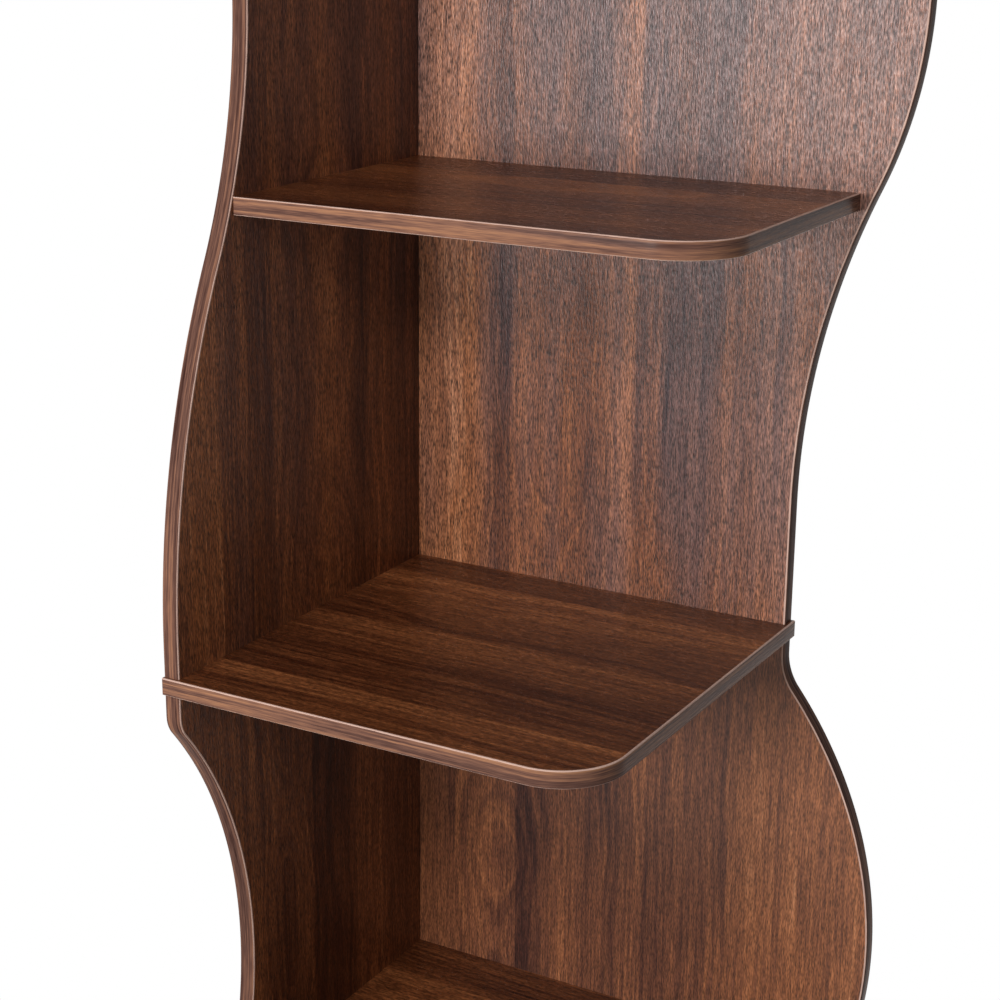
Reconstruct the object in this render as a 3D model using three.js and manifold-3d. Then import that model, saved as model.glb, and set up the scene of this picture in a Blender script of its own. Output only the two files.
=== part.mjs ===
// Corner shelf with two stacked sections. Square boards with one rounded corner close the
// sections, wavy side panels stand against the two walls, and each section holds a smaller shelf.
// Millimetres, +Z up. The walls meet behind the unit's left: the left wall runs along Y and the
// right wall along X. Reach is the distance from the inner corner along either wall.
import * as THREE from 'three';
import { mergeVertices } from 'three/addons/utils/BufferGeometryUtils.js';
import Module from 'manifold-3d';

const wasm = await Module();
wasm.setup();

// Boards that close the sections, flush with the outer faces of the side panels
const board_thickness = 15;
const board_reach = 385;
const corner_radius = 58;

// Side panels
const section_height = 794;
const panel_setback = 4;

// Shelf inside each section: the height of its top, and how far its front edge stays behind the
// boards' and its right edge runs past theirs
const shelf_height = 388;
const shelf_setback = 97;
const shelf_overrun = 42;

// Front edge of the upper left panel: it falls back to a valley
const upper_left_foot = 25;
const upper_left_valley_height = 551;
const upper_left_valley_depth = 119.5;
const upper_left_valley_radius = 496;
const upper_left_neck = 20;
const upper_left_fillet = 28;

// Front edge of the upper right panel: it swells out to a crest
const upper_right_foot = 110;
const upper_right_crest_height = 551;
const upper_right_crest_rise = 95;
const upper_right_crest_radius = 391;
const upper_right_neck = 15;
const upper_right_fillet = 52;

// Front edge of the lower left panel
const lower_left_foot = 25;
const lower_left_valley_height = 516;
const lower_left_valley_depth = 92.8;
const lower_left_valley_radius = 377;
const lower_left_neck = 20;
const lower_left_fillet = 28;

// Front edge of the lower right panel
const lower_right_foot = 110;
const lower_right_crest_height = 505;
const lower_right_crest_rise = 95;
const lower_right_crest_radius = 391;
const lower_right_neck = 15;
const lower_right_fillet = 52;

// Edge band, with rounded long edges and trimmed ends
const band_thickness = 2;
const band_round = 1.5;
const band_end_land = 0.4;

// Countersunk board screw
const screw_length = 50;
const screw_radius = 3.5;
const screw_head_radius = 5;
const screw_head_rim = 1.2;
const screw_head_depth = 3.5;
const screw_tip_radius = 2;
const screw_tip_length = 4;
const screw_socket_radius = 2.3;
const screw_socket_depth = 2.6;

// Cam lock let into the wall side of a panel, and the bolt that it pulls on
const cam_radius = 7.5;
const cam_depth = 12.5;
const cam_distance = 34;
const cam_slot_length = 9;
const cam_slot_width = 1.6;
const cam_slot_depth = 2;
const bolt_radius = 3.5;
const bolt_neck_radius = 2;
const bolt_head_radius = 3.3;
const bolt_head_length = 3;
const bolt_stem_radius = 2.6;
const bolt_stem_length = 10;

// Push-in glide under the bottom board
const glide_radius = 11;
const glide_height = 5;
const glide_round = 1.5;
const glide_stem_radius = 4;
const glide_stem_length = 9;
const glide_inset = 30;

// Places of the fasteners
const back_fastener_inset = 60;
const front_fastener_inset = 61;
const corner_screw_inset = 100;
const shelf_screw_inset = 60;

// Room round a fastener, how far a cut runs past a face, and how far an arc may leave its chord
const clearance = 0.3;
const cut_overrun = 1;
const chord_gap = 0.15;

const panel_reach = board_reach - panel_setback;
const shelf_depth = board_reach - shelf_setback;
const shelf_length = board_reach + shelf_overrun;
const screw_sides = 10;
const bolt_sides = 8;
const cam_sides = 16;
const glide_sides = 12;
const hex_sides = 6;

const bottom_level = glide_height;
const lower_level = bottom_level + board_thickness;
const middle_level = lower_level + section_height;
const upper_level = middle_level + board_thickness;
const top_level = upper_level + section_height;

const along_x = new THREE.Vector3(1, 0, 0);
const toward_front = new THREE.Vector3(0, -1, 0);
const up = new THREE.Vector3(0, 0, 1);
const down = new THREE.Vector3(0, 0, -1);

// Curves and outlines

function line(x0, y0, x1, y1) {
  return new THREE.LineCurve(new THREE.Vector2(x0, y0), new THREE.Vector2(x1, y1));
}

function arc(x, y, radius, start, end, clockwise = false) {
  return new THREE.EllipseCurve(x, y, radius, radius, start, end, clockwise);
}

// Two arcs that leave one upright line and join another, tangent to both and to each other
function double_bend(start, end, last_radius) {
  const side = Math.sign(end.x - start.x);
  const turn = 2 * Math.atan(Math.abs(end.x - start.x) / (end.y - start.y));
  const first_radius = (end.y - start.y) / Math.sin(turn) - last_radius;
  const facing = side > 0 ? 0 : Math.PI;
  const first = arc(start.x + side * first_radius, start.y, first_radius,
    facing + Math.PI, facing + Math.PI - side * turn, side > 0);
  const last = arc(end.x - side * last_radius, end.y, last_radius,
    facing - side * turn, facing, side < 0);
  return [first, last];
}

// Front edge of a side panel, from the board below to the board above
function wavy_edge(foot, turn_height, bow, turn_radius, neck, fillet) {
  const foot_end = new THREE.Vector2(panel_reach, foot);
  const turn = new THREE.Vector2(panel_reach + bow, turn_height);
  const neck_start = new THREE.Vector2(panel_reach, section_height - neck);
  return [
    line(panel_reach, 0, foot_end.x, foot_end.y),
    ...double_bend(foot_end, turn, turn_radius),
    ...double_bend(turn, neck_start, fillet),
    line(neck_start.x, neck_start.y, panel_reach, section_height),
  ];
}

// Free edge of a board: along the front, round the corner and back along the right
function free_edge(left, reach_x, reach_y, back) {
  const centre_x = reach_x - corner_radius;
  const centre_y = corner_radius - reach_y;
  return [
    line(left, -reach_y, centre_x, -reach_y),
    arc(centre_x, centre_y, corner_radius, -Math.PI / 2, 0),
    line(reach_x, centre_y, reach_x, back),
  ];
}

// Point on a curve, with the unit direction to the right of travel
function station(curve, share) {
  const point = curve.getPoint(share);
  if (curve.isLineCurve) {
    const along = curve.getTangent(share);
    return { point, out: new THREE.Vector2(along.y, -along.x) };
  }
  const out = new THREE.Vector2(point.x - curve.aX, point.y - curve.aY).normalize();
  return { point, out: curve.aClockwise ? out.negate() : out };
}

function steps_of(curve) {
  if (curve.isLineCurve) return 1;
  const sweep = Math.abs(curve.aEndAngle - curve.aStartAngle);
  const widest_step = 2 * Math.acos(1 - chord_gap / curve.xRadius);
  return Math.ceil(sweep / widest_step);
}

// Stations along a chain of lines and arcs that are tangent where they meet
function trace(curves) {
  const stations = [station(curves[0], 0)];
  for (const curve of curves) {
    const steps = steps_of(curve);
    for (let step = 1; step <= steps; step += 1) stations.push(station(curve, step / steps));
  }
  return stations;
}

// Solids

function solid(geometry) {
  const bare = geometry.clone();
  bare.deleteAttribute('normal');
  bare.deleteAttribute('uv');
  const merged = mergeVertices(bare);
  const corners = merged.index.array;
  const faces = [];
  for (let at = 0; at < corners.length; at += 3) {
    const [a, b, c] = corners.slice(at, at + 3);
    if (a !== b && b !== c && c !== a) faces.push(a, b, c);
  }
  return new wasm.Manifold(new wasm.Mesh({
    numProp: 3,
    vertProperties: merged.attributes.position.array,
    triVerts: new Uint32Array(faces),
  }));
}

function geometry_of(body) {
  const { vertProperties, triVerts } = body.getMesh();
  const geometry = new THREE.BufferGeometry();
  geometry.setAttribute('position', new THREE.BufferAttribute(vertProperties, 3));
  geometry.setIndex(new THREE.BufferAttribute(triVerts, 1));
  geometry.computeVertexNormals();
  return geometry;
}

// Skin through rings of equal size, closed by flat ends
function loft(rings, section) {
  const size = section.length;
  const last = (rings.length - 1) * size;
  const corners = [];
  for (let start = 0; start < last; start += size) {
    for (let side = 0; side < size; side += 1) {
      const next = (side + 1) % size;
      corners.push(start + side, start + size + side, start + next);
      corners.push(start + next, start + size + side, start + size + next);
    }
  }
  for (const [a, b, c] of THREE.ShapeUtils.triangulateShape(section, [])) {
    corners.push(a, b, c, last + a, last + c, last + b);
  }
  const geometry = new THREE.BufferGeometry().setFromPoints(rings.flat());
  geometry.setIndex(corners);
  geometry.computeVertexNormals();
  return geometry;
}

// Solid of revolution about Z, from points of radius and height
function turned(points, sides) {
  const profile = points.map(([radius, height]) => new THREE.Vector2(radius, height));
  return new THREE.LatheGeometry(profile, sides).rotateX(Math.PI / 2);
}

function rod(radius, bottom, top, sides) {
  return turned([[0, bottom], [radius, bottom], [radius, top], [0, top]], sides);
}

// Boards with a band on the shaped edge

function core_geometry(stations, wall_corners) {
  const edge = stations.map(({ point, out }) => point.clone().addScaledVector(out, -band_thickness));
  const outline = new THREE.Shape([...edge, ...wall_corners]);
  return new THREE.ExtrudeGeometry(outline, { depth: board_thickness, bevelEnabled: false });
}

// Section of the band: depth from the board's edge, and place across the board's thickness
function band_section() {
  const flat = band_thickness - band_round;
  const far = board_thickness - band_round;
  const rounded = trace([
    line(0, 0, flat, 0),
    arc(flat, band_round, band_round, -Math.PI / 2, 0),
    line(band_thickness, band_round, band_thickness, far),
    arc(flat, far, band_round, 0, Math.PI / 2),
    line(flat, board_thickness, 0, board_thickness),
  ]);
  return rounded.map(({ point }) => point);
}

// Stations that round one end of a band off, each with the depth left there
function trimmed_end(end, beside) {
  const radius = band_thickness - band_end_land;
  const along = beside.point.clone().sub(end.point).normalize();
  const steps = steps_of(arc(0, 0, radius, 0, Math.PI / 2));
  return Array.from({ length: steps + 1 }, (_, step) => {
    const angle = (Math.PI / 2) * (step / steps);
    const point = end.point.clone().addScaledVector(along, radius * (1 - Math.cos(angle)));
    return { point, out: end.out, depth: band_end_land + radius * Math.sin(angle) };
  });
}

function band_geometry(stations, trimmed) {
  const full = stations.map((place) => ({ ...place, depth: band_thickness }));
  const last = full.length - 1;
  const places = trimmed ? [
    ...trimmed_end(full[0], full[1]),
    ...full.slice(1, last),
    ...trimmed_end(full[last], full[last - 1]).reverse(),
  ] : full;
  const section = band_section();
  const rings = places.map(({ point, out, depth }) => section.map((corner) => {
    const outward = Math.min(corner.x, depth) - band_thickness;
    return new THREE.Vector3(point.x + out.x * outward, point.y + out.y * outward, corner.y);
  }));
  return loft(rings, section);
}

// Materials

function laminate() {
  return new THREE.MeshStandardMaterial({ color: 0x4a2c1c, roughness: 0.45, metalness: 0 });
}

function edge_band() {
  return new THREE.MeshStandardMaterial({ color: 0x7d5f52, roughness: 0.4, metalness: 0 });
}

function zinc() {
  return new THREE.MeshStandardMaterial({ color: 0xb9b7b0, roughness: 0.35, metalness: 1 });
}

function dark_plastic() {
  return new THREE.MeshStandardMaterial({ color: 0x2b211c, roughness: 0.5, metalness: 0 });
}

function piece(name, geometry, material) {
  const mesh = new THREE.Mesh(geometry, material);
  mesh.name = name;
  return mesh;
}

// Board or panel with its band, lying flat with its thickness up
function banded_board(name, edge, wall_corners, trimmed) {
  const stations = trace(edge);
  const corners = wall_corners.map(([x, y]) => new THREE.Vector2(x, y));
  const board = new THREE.Group();
  board.add(piece(name, core_geometry(stations, corners), laminate()));
  board.add(piece(`${name}_band`, band_geometry(stations, trimmed), edge_band()));
  return board;
}

function closing_board(name, level) {
  const edge = free_edge(-board_thickness, board_reach, board_reach, board_thickness);
  const board = banded_board(name, edge, [[-board_thickness, board_thickness]], true);
  board.position.z = level;
  return board;
}

function inner_shelf(name) {
  const shelf = banded_board(name, free_edge(0, shelf_length, shelf_depth, 0), [[0, 0]], true);
  shelf.position.z = shelf_height - board_thickness;
  return shelf;
}

// Panel on the left wall, butted against the inner face of the right panel
function left_panel(name, edge) {
  const panel = banded_board(name, edge, [[0, section_height], [0, 0]], false);
  panel.rotation.set(Math.PI / 2, 0, -Math.PI / 2, 'ZYX');
  return panel;
}

// Panel on the right wall, which runs through behind the left panel
function right_panel(name, edge) {
  const corners = [[-board_thickness, section_height], [-board_thickness, 0]];
  const panel = banded_board(name, edge, corners, false);
  panel.rotation.x = Math.PI / 2;
  panel.position.y = board_thickness;
  return panel;
}

function section(name, level, left_edge, right_edge) {
  const group = new THREE.Group();
  group.add(left_panel(`${name}_left_panel`, left_edge));
  group.add(right_panel(`${name}_right_panel`, right_edge));
  group.add(inner_shelf(`${name}_shelf`));
  group.position.z = level;
  return group;
}

// Fasteners, each pointing along +Z into the work, as points of radius and depth

function screw_points(room, before) {
  return [
    [0, -before],
    [screw_head_radius + room, -before],
    [screw_head_radius + room, screw_head_rim],
    [screw_radius + room, screw_head_depth],
    [screw_radius + room, screw_length - screw_tip_length],
    [screw_tip_radius + room, screw_length + room],
    [0, screw_length + room],
  ];
}

function screw_geometry() {
  const socket = rod(screw_socket_radius, -cut_overrun, screw_socket_depth, hex_sides);
  return geometry_of(solid(turned(screw_points(0, 0), screw_sides)).subtract(solid(socket)));
}

// Head of a cam bolt and the neck below it, from the middle of the cam outward
function bolt_end_points() {
  const half_head = bolt_head_length / 2;
  const neck_end = cam_radius + clearance;
  return [
    [0, -half_head],
    [bolt_head_radius, -half_head],
    [bolt_head_radius, half_head],
    [bolt_neck_radius, half_head],
    [bolt_neck_radius, neck_end],
    [bolt_radius, neck_end],
  ];
}

// Bolt with two heads, from the cam below a board to the cam above it
function double_bolt_geometry() {
  const length = 2 * cam_distance + board_thickness;
  const far_end = bolt_end_points().map(([radius, height]) => [radius, length - height]).reverse();
  return turned([...bolt_end_points(), ...far_end], bolt_sides);
}

// Bolt with one head, its stem driven into the board above
function stem_bolt_geometry() {
  return turned([
    ...bolt_end_points(),
    [bolt_radius, cam_distance],
    [bolt_stem_radius, cam_distance],
    [bolt_stem_radius, cam_distance + bolt_stem_length],
    [0, cam_distance + bolt_stem_length],
  ], bolt_sides);
}

// Cam lock with its face in the panel's face and the mouth for the bolt toward +Y
function cam_geometry() {
  const body = solid(rod(cam_radius, 0, cam_depth, cam_sides));
  const mouth = rod(bolt_head_radius + clearance, -bolt_head_length, cam_radius + cut_overrun, bolt_sides);
  mouth.rotateX(-Math.PI / 2).translate(0, 0, board_thickness / 2);
  const slot = (width, height) => {
    const box = new THREE.BoxGeometry(width, height, 2 * cam_slot_depth);
    return solid(box.rotateZ(Math.PI / 4));
  };
  const drive = slot(cam_slot_length, cam_slot_width).add(slot(cam_slot_width, cam_slot_length));
  return geometry_of(body.subtract(solid(mouth)).subtract(drive));
}

function glide_geometry() {
  return turned([
    [0, 0],
    [glide_radius - glide_round, 0],
    [glide_radius, glide_round],
    [glide_radius, glide_height],
    [glide_stem_radius, glide_height],
    [glide_stem_radius, glide_height + glide_stem_length],
    [0, glide_height + glide_stem_length],
  ], glide_sides);
}

// Places of the fasteners

// Frame at a point, with Z into the work and Y toward the side that matters
function frame_at(point, into, side = into.x === 0 ? along_x : up) {
  const across = new THREE.Vector3().crossVectors(side, into);
  return new THREE.Matrix4().makeBasis(across, side, into).setPosition(point);
}

// The four places where a panel is joined to a board, each with its wall face and its middle
function joint_places() {
  const places = [back_fastener_inset, panel_reach - front_fastener_inset];
  const middle = board_thickness / 2;
  return [
    ...places.map((reach) => ({
      face: [-board_thickness, -reach], middle: [-middle, -reach], into: along_x,
    })),
    ...places.map((reach) => ({
      face: [reach, board_thickness], middle: [reach, middle], into: toward_front,
    })),
  ];
}

const unit = new THREE.Group();
const cutters = [];

// Copy of a fastener at a place, with the hole that it needs
function fasten(name, geometry, material, place, hole) {
  const mesh = piece(name, geometry, material);
  place.decompose(mesh.position, mesh.quaternion, mesh.scale);
  unit.add(mesh);
  cutters.push(hole.transform(place.elements));
}

function fasten_screws(name, places) {
  const geometry = screw_geometry();
  const hole = solid(turned(screw_points(clearance, cut_overrun), screw_sides));
  places.forEach(([point, into], at) => {
    fasten(`${name}_${at + 1}`, geometry, zinc(), frame_at(point, into), hole);
  });
}

// Cams at the four joints, above a board's face or below it
function fasten_cams(name, face_level, side) {
  const geometry = cam_geometry();
  const pocket = rod(cam_radius + clearance, -cut_overrun, cam_depth + clearance, cam_sides);
  joint_places().forEach(({ face, into }, at) => {
    const point = new THREE.Vector3(...face, face_level - side.z * cam_distance);
    fasten(`${name}_${at + 1}`, geometry, zinc(), frame_at(point, into, side), solid(pocket));
  });
}

function fasten_bolts(name, geometry, level, hole) {
  joint_places().forEach(({ middle }, at) => {
    const point = new THREE.Vector3(...middle, level);
    fasten(`${name}_${at + 1}`, geometry, zinc(), frame_at(point, up), hole);
  });
}

function corner_screw_places(level) {
  const heights = [corner_screw_inset, section_height / 2, section_height - corner_screw_inset];
  return heights.map((height) => [
    new THREE.Vector3(-board_thickness / 2, board_thickness, level + height), toward_front,
  ]);
}

function shelf_screw_places(level) {
  const height = level + shelf_height - board_thickness / 2;
  const on_left = [shelf_screw_inset, shelf_depth - shelf_screw_inset];
  const on_right = [shelf_screw_inset, shelf_length - shelf_screw_inset];
  return [
    ...on_left.map((reach) => [new THREE.Vector3(-board_thickness, -reach, height), along_x]),
    ...on_right.map((reach) => [new THREE.Vector3(reach, board_thickness, height), toward_front]),
  ];
}

function base_screw_places() {
  return joint_places().map(({ middle }) => [new THREE.Vector3(...middle, bottom_level), up]);
}

// Glides near the corners of the bottom board, the last at the centre of the rounded corner
function fasten_glides() {
  const geometry = glide_geometry();
  const hole = rod(glide_stem_radius + clearance, glide_height - cut_overrun,
    glide_height + glide_stem_length + clearance, glide_sides);
  const wall_side = glide_inset - board_thickness;
  const free_side = board_reach - glide_inset;
  const corner = board_reach - corner_radius;
  const places = [
    [wall_side, -wall_side], [wall_side, -free_side], [free_side, -wall_side], [corner, -corner],
  ];
  places.forEach(([x, y], at) => {
    const place = frame_at(new THREE.Vector3(x, y, 0), up);
    fasten(`glide_${at + 1}`, geometry, dark_plastic(), place, solid(hole));
  });
}

// Drill every board in a group for the fasteners that pass through it
function drill(group, holes) {
  group.traverse((mesh) => {
    if (!mesh.isMesh) return;
    mesh.updateWorldMatrix(true, false);
    const to_mesh = mesh.matrixWorld.clone().invert().elements;
    mesh.geometry = geometry_of(solid(mesh.geometry).subtract(holes.transform(to_mesh)));
  });
}

const boards = new THREE.Group();
boards.add(closing_board('bottom_board', bottom_level));
boards.add(closing_board('middle_board', middle_level));
boards.add(closing_board('top_board', top_level));

const lower_left_edge = wavy_edge(lower_left_foot, lower_left_valley_height,
  -lower_left_valley_depth, lower_left_valley_radius, lower_left_neck, lower_left_fillet);
const lower_right_edge = wavy_edge(lower_right_foot, lower_right_crest_height,
  lower_right_crest_rise, lower_right_crest_radius, lower_right_neck, lower_right_fillet);
boards.add(section('lower', lower_level, lower_left_edge, lower_right_edge));

const upper_left_edge = wavy_edge(upper_left_foot, upper_left_valley_height,
  -upper_left_valley_depth, upper_left_valley_radius, upper_left_neck, upper_left_fillet);
const upper_right_edge = wavy_edge(upper_right_foot, upper_right_crest_height,
  upper_right_crest_rise, upper_right_crest_radius, upper_right_neck, upper_right_fillet);
boards.add(section('upper', upper_level, upper_left_edge, upper_right_edge));

fasten_glides();
fasten_screws('base_screw', base_screw_places());
fasten_screws('lower_corner_screw', corner_screw_places(lower_level));
fasten_screws('upper_corner_screw', corner_screw_places(upper_level));
fasten_screws('lower_shelf_screw', shelf_screw_places(lower_level));
fasten_screws('upper_shelf_screw', shelf_screw_places(upper_level));

fasten_cams('cam_below_middle', middle_level, up);
fasten_cams('cam_above_middle', upper_level, down);
fasten_cams('cam_below_top', top_level, up);

const bolt_bore = bolt_radius + clearance;
const through_bore = rod(bolt_bore, 0, 2 * cam_distance + board_thickness, bolt_sides);
fasten_bolts('middle_bolt', double_bolt_geometry(), middle_level - cam_distance, solid(through_bore));

const stem_bore = rod(bolt_stem_radius + clearance, cam_distance - cut_overrun,
  cam_distance + bolt_stem_length + clearance, bolt_sides);
const panel_bore = solid(rod(bolt_bore, 0, cam_distance, bolt_sides));
fasten_bolts('top_bolt', stem_bolt_geometry(), top_level - cam_distance,
  panel_bore.add(solid(stem_bore)));

drill(boards, wasm.Manifold.union(cutters));
unit.add(boards);

// The origin is on the floor under the middle of the whole unit
const widest = panel_reach + Math.max(lower_right_crest_rise, upper_right_crest_rise);
unit.position.set((board_thickness - widest) / 2, (board_reach - board_thickness) / 2, 0);

export default unit;
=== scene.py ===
# Walnut corner shelf: the finishes, the edge bands, the studio and the camera.
import math

import bpy
from mathutils import Matrix, Vector


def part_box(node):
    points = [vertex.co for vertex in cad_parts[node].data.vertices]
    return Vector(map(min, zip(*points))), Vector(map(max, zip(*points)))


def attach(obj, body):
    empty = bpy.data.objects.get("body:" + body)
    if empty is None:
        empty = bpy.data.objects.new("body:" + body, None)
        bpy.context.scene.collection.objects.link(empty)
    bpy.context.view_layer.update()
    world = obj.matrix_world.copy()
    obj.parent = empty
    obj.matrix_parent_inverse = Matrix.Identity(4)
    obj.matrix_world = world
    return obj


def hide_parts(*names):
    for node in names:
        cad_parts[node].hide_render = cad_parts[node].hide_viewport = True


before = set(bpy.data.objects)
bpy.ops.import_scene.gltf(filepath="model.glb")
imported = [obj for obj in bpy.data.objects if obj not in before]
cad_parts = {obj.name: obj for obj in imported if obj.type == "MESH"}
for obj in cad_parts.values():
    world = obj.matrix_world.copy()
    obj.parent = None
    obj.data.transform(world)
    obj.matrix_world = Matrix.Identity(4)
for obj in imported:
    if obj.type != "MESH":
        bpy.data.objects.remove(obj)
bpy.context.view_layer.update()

MM = 0.001

# Places taken from the frame: the inner corner of the two walls' panels, on the middle board's top
BAND_BOX_LOW, BAND_BOX_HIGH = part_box("middle_board_band")
THICKNESS = BAND_BOX_HIGH.z - BAND_BOX_LOW.z
CORNER_X = BAND_BOX_LOW.x + THICKNESS
CORNER_Y = BAND_BOX_HIGH.y - THICKNESS
DATUM = Vector((CORNER_X, CORNER_Y, BAND_BOX_HIGH.z))

# Edge bands
BAND_THICKNESS = 2.0 * MM
BAND_ROUND = 1.5 * MM
BAND_END_LAND = 0.4 * MM
CORNER_RADIUS = 58.0 * MM
PANEL_SETBACK = 4.0 * MM
BAND_SEAT = 0.02 * MM
ARC_CHORD_GAP = 0.012 * MM
SAME_PLACE = 0.0001 * MM
ROUND_STEPS = 6
LONGEST_STRETCH = 25.0 * MM
SHARP_ANGLE = math.radians(40)

# Front edges of the panels: foot, height of the turn, bow at the turn, radius there, neck, fillet
PANEL_EDGES = {
    "upper_left_panel": (25, 551, -119.5, 496, 20, 28),
    "upper_right_panel": (110, 551, 95, 391, 15, 52),
    "lower_left_panel": (25, 516, -92.8, 377, 20, 28),
    "lower_right_panel": (110, 505, 95, 391, 15, 52),
}

# Camera, set to the photograph's view; the shift is what the photograph's framing needs
CAMERA_FROM_DATUM = Vector((1014.33, -1651.54, 654.56)) * MM
CAMERA_YAW = math.radians(30.454)
CAMERA_PITCH = math.radians(17.123)
CAMERA_ROLL = math.radians(0.204)
FOCAL_SHARE = 2.09359
CAMERA_SHIFT_X = 0.0421
CAMERA_SHIFT_Y = -0.0022
SENSOR_WIDTH = 36.0

# Softboxes: degrees round the inner corner, height and width in metres, and watts
SOFTBOXES = ((-6.0, 1.25, 0.68, 31.0), (7.5, 2.25, 0.58, 29.0))
SOFTBOX_TALL = 0.5
LAMP_DISTANCE = 2.2
AMBIENT = 0.15

# Floor: half its size, and where it turns white, in metres from the middle
FLOOR_HALF = 12.0
FLOOR_FADE = (0.45, 0.8)


# Node helpers

class Nodes:
    """Adds nodes to a tree; an input is a value or another node's socket."""

    def __init__(self, tree):
        self.tree = tree

    def add(self, kind, inputs=(), **settings):
        node = self.tree.nodes.new(kind)
        for name, value in settings.items():
            setattr(node, name, value)
        for key, value in dict(inputs).items():
            socket = node.inputs[key]
            if isinstance(value, bpy.types.NodeSocket):
                self.tree.links.new(value, socket)
            else:
                socket.default_value = value
        return node

    def math(self, operation, a, b=0.0, c=0.0):
        values = {0: a, 1: b, 2: c}
        return self.add("ShaderNodeMath", values, operation=operation).outputs[0]

    def scaled(self, vector, scale):
        node = self.add("ShaderNodeVectorMath", {0: vector, 1: scale}, operation="MULTIPLY")
        return node.outputs[0]

    def noise(self, vector, detail=2.0, roughness=0.5):
        inputs = {"Vector": vector, "Scale": 1.0, "Detail": detail, "Roughness": roughness}
        return self.add("ShaderNodeTexNoise", inputs).outputs[0]

    def ramp(self, value, stops):
        node = self.add("ShaderNodeValToRGB", {0: value})
        elements = node.color_ramp.elements
        while len(elements) < len(stops):
            elements.new(1.0)
        for element, (place, colour) in zip(elements, stops):
            element.position = place
            element.color = colour if len(colour) == 4 else (*colour, 1.0)
        return node.outputs[0]

    def span(self, value, low, high, to_low=0.0, to_high=1.0):
        inputs = {"Value": value, "From Min": low, "From Max": high,
                  "To Min": to_low, "To Max": to_high}
        return self.add("ShaderNodeMapRange", inputs, clamp=True).outputs[0]

    def mix(self, factor, a, b, blend="MIX"):
        inputs = {0: factor, 6: a, 7: b}
        node = self.add("ShaderNodeMix", inputs, data_type="RGBA", blend_type=blend)
        return node.outputs[2]


def new_material(name):
    material = bpy.data.materials.new(name)
    material.use_nodes = True
    material.node_tree.nodes.clear()
    return material, Nodes(material.node_tree)


def finish_material(nodes, shader):
    nodes.add("ShaderNodeOutputMaterial", {"Surface": shader})


def srgb(red, green, blue):
    """A colour written as 0 to 255 on screen, in the linear values that a shader takes."""
    return tuple(((c / 255 + 0.055) / 1.055) ** 2.4 if c > 10 else c / 255 / 12.92
                 for c in (red, green, blue)) + (1.0,)


# Studio

def add_camera():
    forward = Vector((-math.sin(CAMERA_YAW) * math.cos(CAMERA_PITCH),
                      math.cos(CAMERA_YAW) * math.cos(CAMERA_PITCH),
                      -math.sin(CAMERA_PITCH)))
    level = Vector((math.cos(CAMERA_YAW), math.sin(CAMERA_YAW), 0.0))
    upward = level.cross(forward)
    right = level * math.cos(CAMERA_ROLL) + upward * math.sin(CAMERA_ROLL)
    above = upward * math.cos(CAMERA_ROLL) - level * math.sin(CAMERA_ROLL)
    data = bpy.data.cameras.new("camera")
    data.sensor_width = SENSOR_WIDTH
    data.lens = SENSOR_WIDTH * FOCAL_SHARE
    data.shift_x = CAMERA_SHIFT_X
    data.shift_y = CAMERA_SHIFT_Y
    camera = bpy.data.objects.new("camera", data)
    turn = Matrix((right, above, -forward)).transposed().to_4x4()
    camera.matrix_world = Matrix.Translation(DATUM + CAMERA_FROM_DATUM) @ turn
    bpy.context.scene.collection.objects.link(camera)
    bpy.context.scene.camera = camera


def round_the_corner(degrees, distance, height):
    """A place at a distance from the inner corner, 0 degrees being straight in front of it."""
    angle = math.radians(degrees)
    return (DATUM.x + distance * math.sin(angle), DATUM.y - distance * math.cos(angle), height)


def add_softbox(turn, height, width, power):
    """A softbox that faces the inner corner level with its own height."""
    data = bpy.data.lights.new("softbox", "AREA")
    data.shape = "RECTANGLE"
    data.size = width
    data.size_y = SOFTBOX_TALL
    data.energy = power
    light = bpy.data.objects.new("softbox", data)
    place = Vector(round_the_corner(turn, LAMP_DISTANCE, height))
    away = (place - Vector((DATUM.x, DATUM.y, height))).normalized()
    light.matrix_world = (Matrix.Translation(place)
                          @ away.to_track_quat("Z", "Y").to_matrix().to_4x4())
    bpy.context.scene.collection.objects.link(light)


def seen_directly(nodes):
    """1 for rays that show the background itself: camera, glossy and transmission rays."""
    path = nodes.add("ShaderNodeLightPath").outputs
    either = nodes.math("MAXIMUM", path["Is Camera Ray"], path["Is Glossy Ray"])
    return nodes.math("MAXIMUM", either, path["Is Transmission Ray"])


def add_world():
    world = bpy.data.worlds.new("world")
    world.use_nodes = True
    world.node_tree.nodes.clear()
    nodes = Nodes(world.node_tree)
    level = nodes.span(seen_directly(nodes), 0.0, 1.0, AMBIENT, 1.0)
    background = nodes.add("ShaderNodeBackground", {"Color": (1, 1, 1, 1), "Strength": level})
    nodes.add("ShaderNodeOutputWorld", {"Surface": background.outputs[0]})
    bpy.context.scene.world = world


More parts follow.
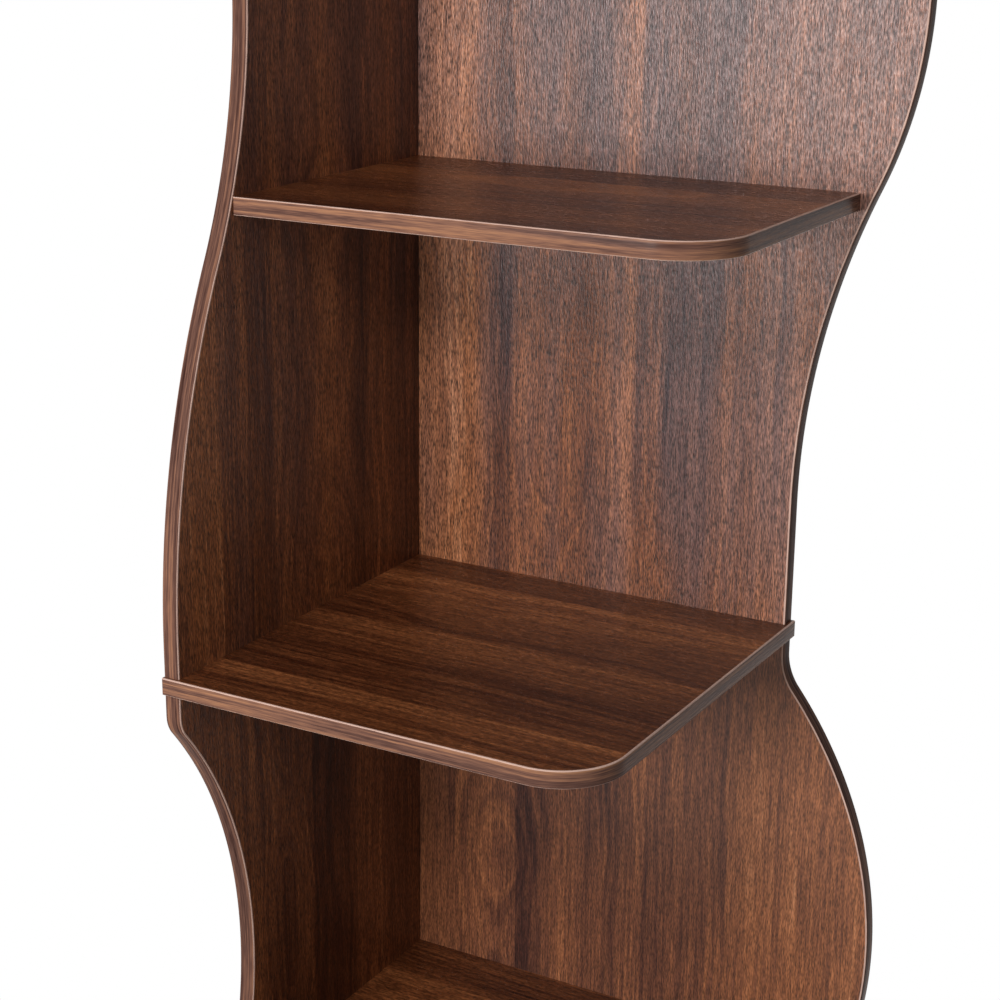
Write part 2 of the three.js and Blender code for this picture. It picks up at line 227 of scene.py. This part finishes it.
def add_floor():
    corners = [(-1, -1), (1, -1), (1, 1), (-1, 1)]
    data = bpy.data.meshes.new("floor")
    data.from_pydata([(x * FLOOR_HALF, y * FLOOR_HALF, 0) for x, y in corners],
                     [], [(0, 1, 2, 3)])
    floor = bpy.data.objects.new("floor", data)
    bpy.context.scene.collection.objects.link(floor)
    material, nodes = new_material("floor_paper")
    coords = nodes.add("ShaderNodeTexCoord").outputs["Object"]
    away = nodes.add("ShaderNodeVectorMath", {0: coords}, operation="LENGTH").outputs["Value"]
    fade = nodes.span(away, *FLOOR_FADE)
    cover = nodes.math("MULTIPLY", fade, seen_directly(nodes))
    tooth = nodes.noise(nodes.scaled(coords, (900, 900, 900)))
    colour = nodes.ramp(tooth, [(0.0, (0.80, 0.80, 0.79)), (1.0, (0.86, 0.86, 0.85))])
    paper = nodes.add("ShaderNodeBsdfDiffuse", {"Color": colour}).outputs[0]
    glow = nodes.add("ShaderNodeEmission", {"Color": (1, 1, 1, 1), "Strength": 1.0}).outputs[0]
    mixed = nodes.add("ShaderNodeMixShader", {0: cover, 1: paper, 2: glow}).outputs[0]
    finish_material(nodes, mixed)
    data.materials.append(material)


# Edge bands. A chain is a list of stations: a point and the direction out from the edge there

def line(start, end):
    along = (Vector(end) - Vector(start)).normalized()
    out = Vector((along.y, -along.x))
    return [(Vector(start), out), (Vector(end), out)]


def arc(centre, radius, start, sweep):
    """Stations round an arc, each with the direction to the right of travel."""
    widest = 2 * math.acos(1 - ARC_CHORD_GAP / radius)
    steps = math.ceil(abs(sweep) / widest)
    stations = []
    for step in range(steps + 1):
        angle = start + sweep * step / steps
        radial = Vector((math.cos(angle), math.sin(angle)))
        stations.append((Vector(centre) + radial * radius, radial * math.copysign(1, sweep)))
    return stations


def double_bend(start, end, last_radius):
    """Two arcs that join two upright lines, tangent to both and to each other."""
    side = math.copysign(1, end[0] - start[0])
    rise = end[1] - start[1]
    turn = 2 * math.atan(abs(end[0] - start[0]) / rise)
    first_radius = rise / math.sin(turn) - last_radius
    facing = 0.0 if side > 0 else math.pi
    first = arc((start[0] + side * first_radius, start[1]), first_radius,
                facing + math.pi, -side * turn)
    last = arc((end[0] - side * last_radius, end[1]), last_radius,
               facing - side * turn, side * turn)
    return first + last


def joined(*chains):
    """One chain of stations, without the doubled ones where two meet."""
    stations = []
    for chain in chains:
        for point, out in chain:
            if not stations or (point - stations[-1][0]).length > SAME_PLACE:
                stations.append((point, out))
    return stations


def wavy_edge(name, reach, height):
    """A panel's front edge, from its foot to its top."""
    foot, turn_height, bow, turn_radius, neck, fillet = (v * MM for v in PANEL_EDGES[name])
    turn = (reach + bow, turn_height)
    return joined(
        line((reach, 0), (reach, foot)),
        double_bend((reach, foot), turn, turn_radius),
        double_bend(turn, (reach, height - neck), fillet),
        line((reach, height - neck), (reach, height)),
    )


def free_edge(left, front, right, back):
    """A board's banded edges: its front, its rounded corner and its right side."""
    centre = (right - CORNER_RADIUS, front + CORNER_RADIUS)
    return joined(
        line((left, front), (centre[0], front)),
        arc(centre, CORNER_RADIUS, -math.pi / 2, math.pi / 2),
        line((right, centre[1]), (right, back)),
    )


def band_section():
    """Points of depth and of place across the board, from its near face to its far one."""
    flat = BAND_THICKNESS - BAND_ROUND
    points = [(0.0, 0.0)]
    for step in range(ROUND_STEPS + 1):
        angle = -math.pi / 2 + math.pi / 2 * step / ROUND_STEPS
        points.append((flat + BAND_ROUND * math.cos(angle),
                       BAND_ROUND + BAND_ROUND * math.sin(angle)))
    far = [(depth, THICKNESS - across) for depth, across in reversed(points)]
    return points + far


def trimmed_end(end, beside):
    """Stations with depths, where a band is rounded off down to its end."""
    radius = BAND_THICKNESS - BAND_END_LAND
    along = (beside[0] - end[0]).normalized()
    places = []
    for step in range(ROUND_STEPS + 1):
        angle = math.pi / 2 * step / ROUND_STEPS
        point = end[0] + along * radius * (1 - math.cos(angle))
        places.append((point, end[1], BAND_END_LAND + radius * math.sin(angle)))
    return places


def divided(stations):
    """Stations with long straight stretches cut into shorter ones."""
    places = [stations[0]]
    for point, out in stations[1:]:
        last = places[-1][0]
        parts = max(1, math.ceil((point - last).length / LONGEST_STRETCH))
        for part in range(1, parts + 1):
            places.append((last.lerp(point, part / parts), out))
    return places


def band_mesh(name, stations, to_frame, trimmed):
    full = [(point, out, BAND_THICKNESS) for point, out in divided(stations)]
    if trimmed:
        full = (trimmed_end(full[0], full[1]) + full[1:-1]
                + trimmed_end(full[-1], full[-2])[::-1])
    section = band_section()
    size = len(section)
    vertices, faces, grain = [], [], []
    travelled = 0.0
    before = full[0][0]
    for point, out, depth in full:
        travelled += (point - before).length
        before = point
        for deep, across in section:
            outward = min(deep, depth) - BAND_THICKNESS + (BAND_SEAT if deep == 0.0 else 0.0)
            place = point + out * outward
            vertices.append(to_frame(place.x, place.y, across))
            grain.append((across, travelled))
    for ring in range(len(full) - 1):
        for side in range(size):
            a = ring * size + side
            b = ring * size + (side + 1) % size
            faces.append((a, a + size, b + size, b))
    last = (len(full) - 1) * size
    faces.append(tuple(range(size)))
    faces.append(tuple(last + side for side in reversed(range(size))))
    mesh = bpy.data.meshes.new(name)
    mesh.from_pydata(vertices, [], faces)
    mesh.update()
    layer = mesh.uv_layers.new(name="grain")
    for loop in mesh.loops:
        layer.data[loop.index].uv = grain[loop.vertex_index]
    mesh.shade_smooth()
    mesh.set_sharp_from_angle(angle=SHARP_ANGLE)
    return mesh


def add_band(board, stations, to_frame, trimmed, material):
    """The band of a board or panel, in the place of the CAD's band."""
    name = board + "_edge_band"
    mesh = band_mesh(name, stations, to_frame, trimmed)
    mesh.materials.append(material)
    band = bpy.data.objects.new(name, mesh)
    bpy.context.scene.collection.objects.link(band)
    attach(band, "root")
    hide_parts(board + "_band")


def band_of_board(board, material):
    low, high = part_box(board + "_band")
    stations = free_edge(low.x, low.y, high.x, high.y)
    add_band(board, stations, lambda x, y, across: (x, y, low.z + across), True, material)


def band_of_panel(panel, material):
    low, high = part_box(panel)
    reach = BAND_BOX_HIGH.x - CORNER_X - PANEL_SETBACK
    stations = wavy_edge(panel, reach, high.z - low.z)
    if "left" in panel:
        def to_frame(x, y, across):
            return (CORNER_X - across, CORNER_Y - x, low.z + y)
    else:
        def to_frame(x, y, across):
            return (CORNER_X + x, CORNER_Y + THICKNESS - across, low.z + y)
    add_band(panel, stations, to_frame, False, material)


# Materials

# Colours of the print, dark to light
WALNUT = [
    (0.00, srgb(24, 8, 3)),
    (0.25, srgb(60, 27, 13)),
    (0.50, srgb(103, 58, 32)),
    (0.75, srgb(144, 88, 51)),
    (1.00, srgb(182, 124, 84)),
]
# The print with a painted grey sheen mixed into it, for where the lamps' reflection falls on the
# upper right panel
MAUVE_SHEEN_WALNUT = [
    (0.00, srgb(27, 18, 20)),
    (0.25, srgb(60, 45, 47)),
    (0.50, srgb(98, 72, 67)),
    (0.75, srgb(139, 98, 82)),
    (1.00, srgb(182, 130, 106)),
]
RED_WALNUT = [
    (0.00, srgb(27, 12, 9)),
    (0.25, srgb(64, 36, 29)),
    (0.50, srgb(104, 63, 44)),
    (0.75, srgb(144, 90, 58)),
    (1.00, srgb(182, 126, 90)),
]
# Streaks of the print, broad to fine: what they follow, waves in a metre across and along,
# detail and strength
STREAKS = (
    ("grain", 22, 2.6, 1, 0.24),
    ("ring", 100, 2.4, 1, 0.36),
    ("ring", 220, 2.0, 1, 0.34),
    ("grain", 420, 12.0, 2, 0.50),
)
STREAK_ROUGHNESS = 0.6
# How the grain sways, the growth arches rise and the rings sweep: waves in a metre across and
# along, then how far. An arch is in square metres, and it starts where its rise is over a share
SWAY_WAVES, SWAY = (9, 5), 1.6 * MM
ARCH_WAVES, ARCH = (5, 4.5), 0.008
ARCH_START = 0.3
SWEEP_WAVES, SWEEP = (6, 3.0), 30 * MM
# Distances across and up, added together, over which a painted grey sheen comes in over the warm
# print
SHEEN_SPAN = (150 * MM, 750 * MM)
# How many metres further out the darkest broad vein counts than the lightest, so that the dark
# veins take more of the painted sheen
VEIN_SHEEN = 1.6
# Embossed pores: waves in a metre across and along of the dots and the dashes, how far the sway
# bends them, and their depth
DOTS, DASHES = (1400, 250), (1150, 110)
PORE_BEND = 10 * MM
PORE_DEPTH = 0.4 * MM
# What the pores' noise does over its range: darker and lighter ink, and rougher and smoother film
INK_RANGE, INK_DARK, INK_LIGHT = (0.34, 0.68), 0.72, 0.95
POLISH_RANGE, POLISH = (0.36, 0.64), 0.05

# Streaks of the edging, broad to fine: waves in a metre across and along, strength and seed
EDGING_STREAKS = ((170, 3.0, 0.8, 2.3), (520, 7, 1.2, 5.7), (1500, 60, 0.7, 7.9))
# Its trimmed border: waves in a metre across and along, how far it wavers, how softly it ends
TRIM_WAVES, TRIM_WAVER, TRIM_BLEND = (5, 60), 0.4 * MM, 0.2 * MM

# Width that each list of planks is laid over
SPAN = 400 * MM


def grain_coordinates(nodes, across, along, start):
    """Distance across and along the grain in metres, with a corner of the board as zero."""
    position = nodes.add("ShaderNodeTexCoord").outputs["Object"]
    split = nodes.add("ShaderNodeSeparateXYZ", {0: position}).outputs
    places = []
    for axis, sign in (across, along):
        value = nodes.math("MULTIPLY_ADD", split[axis], sign, -sign * start["XYZ".index(axis)])
        places.append(value)
    return places


def stretched(nodes, across, along, across_scale, along_scale, seed):
    """A texture place squeezed across the grain and drawn out along it."""
    x = nodes.math("MULTIPLY", across, across_scale)
    y = nodes.math("MULTIPLY", along, along_scale)
    return nodes.add("ShaderNodeCombineXYZ", {0: x, 1: y, 2: seed}).outputs[0]


def laminate(name, across, along, start, planks, heart, seed,
             palette=(WALNUT, WALNUT), figure=1.0, pores=0.5, pore_size=1.0,
             gloss=0.375, roughness=0.37):
    """Printed walnut laminate with an embossed pore, its planks side by side across the board."""
    material, nodes = new_material(name)
    u, v = grain_coordinates(nodes, across, along, start)
    sway = nodes.noise(stretched(nodes, u, v, *SWAY_WAVES, seed + 3.1), detail=2)
    straight = nodes.math("ADD", u, -SWAY / 2)
    straight = nodes.math("MULTIPLY_ADD", sway, SWAY, straight)
    tone = nodes.ramp(nodes.math("MULTIPLY", straight, 1 / SPAN),
                      [(place / SPAN * MM, (grey, grey, grey)) for place, grey in planks])

    # Growth rings, nested in arches and eyes at the heart and nearly straight beside it
    off_heart = nodes.math("ADD", u, -heart * MM)
    rise = nodes.noise(stretched(nodes, u, v, *ARCH_WAVES, seed + 6.4), detail=1)
    arch = nodes.math("MULTIPLY_ADD", rise, ARCH, -ARCH_START * ARCH)
    arch = nodes.math("MAXIMUM", arch, 0.0)
    nested = nodes.math("SQRT", nodes.math("MULTIPLY_ADD", off_heart, off_heart, arch))
    sweep = nodes.noise(stretched(nodes, u, v, *SWEEP_WAVES, seed + 8.8), detail=1)
    ring = nodes.math("MULTIPLY_ADD", sweep, SWEEP, nested)
    layers = []
    for source, fine, drawn, detail, strength in STREAKS:
        followed = ring if source == "ring" else straight
        place = stretched(nodes, followed, v, fine, drawn, seed + fine)
        streaks = nodes.noise(place, detail=detail, roughness=STREAK_ROUGHNESS)
        layers.append(streaks)
        depth = strength * figure
        tone = nodes.math("MULTIPLY_ADD", streaks, depth, nodes.math("ADD", tone, -depth / 2))

    # Warm print at the inner foot of a panel, with a painted grey sheen coming in up and out from
    # it and in the dark veins
    warm, sheened = (nodes.ramp(tone, stops) for stops in palette)
    reach = nodes.math("ADD", nodes.math("ADD", u, v), VEIN_SHEEN / 2)
    reach = nodes.math("MULTIPLY_ADD", layers[0], -VEIN_SHEEN, reach)
    colour = nodes.mix(nodes.span(reach, *SHEEN_SPAN), warm, sheened)

    # Embossed pores, fine ridges broken into ticks along the grain
    bent = nodes.math("MULTIPLY_ADD", sway, PORE_BEND, u)
    dots = stretched(nodes, bent, v, DOTS[0] / pore_size, DOTS[1], seed + 1.9)
    dashes = stretched(nodes, bent, v, DASHES[0] / pore_size, DASHES[1], seed + 4.3)
    both = nodes.math("ADD", nodes.noise(dots, detail=0), nodes.noise(dashes, detail=0))
    ticks = nodes.math("MULTIPLY", both, 0.5)
    ink = nodes.span(ticks, *INK_RANGE, 1 - INK_DARK * pores, 1 + INK_LIGHT * pores)
    grey = nodes.add("ShaderNodeCombineColor", {0: ink, 1: ink, 2: ink}).outputs[0]
    inked = nodes.mix(1.0, colour, grey, "MULTIPLY")
    rough = nodes.span(ticks, *POLISH_RANGE, roughness + POLISH, roughness - POLISH)
    bump = nodes.add("ShaderNodeBump", {
        "Strength": pores, "Distance": PORE_DEPTH, "Height": ticks})
    shader = nodes.add("ShaderNodeBsdfPrincipled", {
        "Base Color": inked, "Roughness": rough,
        "Specular IOR Level": gloss, "Normal": bump.outputs[0]})
    finish_material(nodes, shader.outputs[0])
    return material


def edge_band(name, lightness, trim, gloss, seed):
    """Printed plastic edging, with its plain plastic showing where the arrises are trimmed."""
    material, nodes = new_material(name)
    uv = nodes.add("ShaderNodeTexCoord").outputs["UV"]
    split = nodes.add("ShaderNodeSeparateXYZ", {0: uv}).outputs
    u, v = split[0], split[1]
    tone = lightness
    for across, along, strength, shift in EDGING_STREAKS:
        fine = nodes.noise(stretched(nodes, u, v, across, along, seed + shift), detail=1)
        tone = nodes.math("MULTIPLY_ADD", fine, strength, nodes.math("ADD", tone, -strength / 2))
    print_colour = nodes.ramp(tone, [
        (0.0, srgb(54, 32, 27)),
        (0.4, srgb(94, 66, 57)),
        (0.65, srgb(125, 88, 71)),
        (1.0, srgb(160, 114, 84)),
    ])
    inner = nodes.math("MINIMUM", u, nodes.math("SUBTRACT", THICKNESS, u))
    waver = nodes.noise(stretched(nodes, u, v, *TRIM_WAVES, seed + 4.4), detail=2)
    border = nodes.math("ADD", inner, -TRIM_WAVER / 2)
    border = nodes.math("MULTIPLY_ADD", waver, TRIM_WAVER, border)
    trimmed = nodes.span(border, trim, trim - TRIM_BLEND)
    plain = nodes.mix(nodes.span(fine, 0.3, 0.7), srgb(200, 166, 152), srgb(214, 180, 164))
    colour = nodes.mix(trimmed, print_colour, plain)
    roughness = nodes.span(fine, 0.3, 0.7, 0.22, 0.30)
    bump = nodes.add("ShaderNodeBump", {"Strength": 0.3, "Distance": 0.1 * MM, "Height": fine})
    shader = nodes.add("ShaderNodeBsdfPrincipled", {
        "Base Color": colour, "Roughness": roughness,
        "Specular IOR Level": gloss, "Normal": bump.outputs[0]})
    finish_material(nodes, shader.outputs[0])
    return material


def zinc_plate(name):
    material, nodes = new_material(name)
    coords = nodes.add("ShaderNodeTexCoord").outputs["Object"]
    grain = nodes.noise(nodes.scaled(coords, (900, 900, 900)), detail=3)
    colour = nodes.ramp(grain, [(0.3, (0.50, 0.50, 0.49)), (0.7, (0.66, 0.66, 0.64))])
    roughness = nodes.span(grain, 0.3, 0.7, 0.28, 0.42)
    bump = nodes.add("ShaderNodeBump", {"Strength": 0.2, "Distance": 0.05 * MM, "Height": grain})
    shader = nodes.add("ShaderNodeBsdfPrincipled", {
        "Base Color": colour, "Metallic": 1.0, "Roughness": roughness,
        "Normal": bump.outputs[0]})
    finish_material(nodes, shader.outputs[0])
    return material


def dark_plastic(name):
    material, nodes = new_material(name)
    coords = nodes.add("ShaderNodeTexCoord").outputs["Object"]
    grain = nodes.noise(nodes.scaled(coords, (2500, 2500, 2500)), detail=2)
    colour = nodes.ramp(grain, [(0.3, (0.020, 0.014, 0.011)), (0.7, (0.034, 0.024, 0.019))])
    roughness = nodes.span(grain, 0.3, 0.7, 0.45, 0.6)
    bump = nodes.add("ShaderNodeBump", {"Strength": 0.3, "Distance": 0.05 * MM, "Height": grain})
    shader = nodes.add("ShaderNodeBsdfPrincipled", {
        "Base Color": colour, "Roughness": roughness, "Normal": bump.outputs[0]})
    finish_material(nodes, shader.outputs[0])
    return material


# Planks of each board, as places in millimetres across it and how light each is

# Lighter in the first 60 mm from the inner corner: partly the print and partly painted light,
# where the corner is brighter than the lamps make it
UPPER_RIGHT_PLANKS_AND_LIGHT = [
    (0, 0.75), (16, 0.75), (45, 0.83), (64, 0.68), (88, 0.38),
    (98, 0.38), (101, 0.55), (140, 0.51), (180, 0.42), (210, 0.59), (226, 0.64),
    (228, 0.49), (292, 0.46), (360, 0.64),
]
LOWER_RIGHT_PLANKS = [
    (0, 0.64), (48, 0.54), (110, 0.43),
    (112, 0.25), (140, 0.38), (162, 0.56), (184, 0.54), (190, 0.41), (249, 0.56),
    (251, 0.42), (329, 0.55),
    (331, 0.60), (372, 0.65),
]
UPPER_LEFT_PLANKS = [
    (0, 0.30), (36, 0.45), (84, 0.50), (95, 0.45),
    (97, 0.28), (124, 0.53), (156, 0.64), (190, 0.51), (237, 0.60),
    (239, 0.42), (314, 0.53),
    (316, 0.70), (370, 0.63),
]
LOWER_LEFT_PLANKS = [
    (0, 0.40), (108, 0.55), (124, 0.35), (189, 0.20),
    (191, 0.43), (234, 0.32), (290, 0.57), (310, 0.50),
]
SQUARE_BOARD_PLANKS = [
    (0, 0.42), (47, 0.45),
    (49, 0.65), (80, 0.60), (120, 0.42), (176, 0.37),
    (178, 0.53), (205, 0.48), (240, 0.35), (321, 0.36),
    (323, 0.58), (360, 0.38), (385, 0.46),
]
SHELF_PLANKS = [
    (0, 0.40), (65, 0.40),
    (67, 0.62), (108, 0.57), (135, 0.48), (199, 0.33),
    (201, 0.49), (216, 0.53), (288, 0.27),
]

RIGHT_ACROSS, RIGHT_ALONG = ("X", 1.0), ("Z", 1.0)
LEFT_ACROSS, LEFT_ALONG = ("Y", -1.0), ("Z", 1.0)
FLAT_ACROSS, FLAT_ALONG = ("Y", -1.0), ("X", 1.0)


def dress(node, material):
    piece = bpy.data.objects[node]
    for slot in piece.material_slots:
        slot.material = material


# Planks, place of the heart in millimetres, seed, warm print and print with painted sheen, figure
# and pores
PANEL_PRINTS_AND_SHEEN = {
    "upper_right_panel": (UPPER_RIGHT_PLANKS_AND_LIGHT, 138, 0.0, (RED_WALNUT, MAUVE_SHEEN_WALNUT), 1.05, 1.0),
    "upper_left_panel": (UPPER_LEFT_PLANKS, 150, 13.0, (WALNUT, RED_WALNUT), 1.3, 1.05),
    "lower_right_panel": (LOWER_RIGHT_PLANKS, 92, 26.0, (RED_WALNUT, RED_WALNUT), 1.3, 0.7),
    "lower_left_panel": (LOWER_LEFT_PLANKS, 230, 39.0, (WALNUT, WALNUT), 1.3, 1.05),
}
# Planks and place of the heart
SQUARE_BOARD_PRINT = (SQUARE_BOARD_PLANKS, 112)
SHELF_PRINT = (SHELF_PLANKS, 100)
FLAT_BOARDS = ("bottom_board", "lower_shelf", "middle_board", "upper_shelf", "top_board")


def dress_boards():
    for panel, (planks, heart, seed, palette, figure, pores) in PANEL_PRINTS_AND_SHEEN.items():
        start = (CORNER_X, CORNER_Y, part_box(panel)[0].z)
        if "right" in panel:
            across, along = RIGHT_ACROSS, RIGHT_ALONG
        else:
            across, along = LEFT_ACROSS, LEFT_ALONG
        dress(panel, laminate(panel + "_walnut", across, along, start, planks, heart,
                              seed, palette, figure, pores))
    for index, board in enumerate(FLAT_BOARDS):
        start = (CORNER_X, CORNER_Y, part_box(board)[0].z)
        planks, heart = SHELF_PRINT if "shelf" in board else SQUARE_BOARD_PRINT
        dress(board, laminate(board + "_walnut", FLAT_ACROSS, FLAT_ALONG, start,
                              planks, heart, seed=60.0 + 9 * index,
                              figure=1.1, pores=0.6, pore_size=2.1, gloss=0.2, roughness=0.32))


def dress_fittings():
    zinc = zinc_plate("zinc_plate")
    plastic = dark_plastic("glide_plastic")
    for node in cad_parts:
        if any(word in node for word in ("screw", "cam_", "_bolt")):
            dress(node, zinc)
        elif node.startswith("glide"):
            dress(node, plastic)


def add_bands():
    for index, board in enumerate(FLAT_BOARDS):
        band_of_board(board, edge_band(board + "_edging", lightness=0.56, trim=0.8 * MM,
                                       gloss=0.05, seed=3.0 * index))
    for index, panel in enumerate(PANEL_EDGES):
        trim = 0.4 * MM if "right" in panel else 0.6 * MM
        band_of_panel(panel, edge_band(panel + "_edging", lightness=0.42, trim=trim,
                                       gloss=0.015, seed=20 + 3.0 * index))


bpy.context.scene.view_settings.view_transform = "Standard"

add_camera()
add_world()
add_floor()
for softbox in SOFTBOXES:
    add_softbox(*softbox)
dress_boards()
dress_fittings()
add_bands()
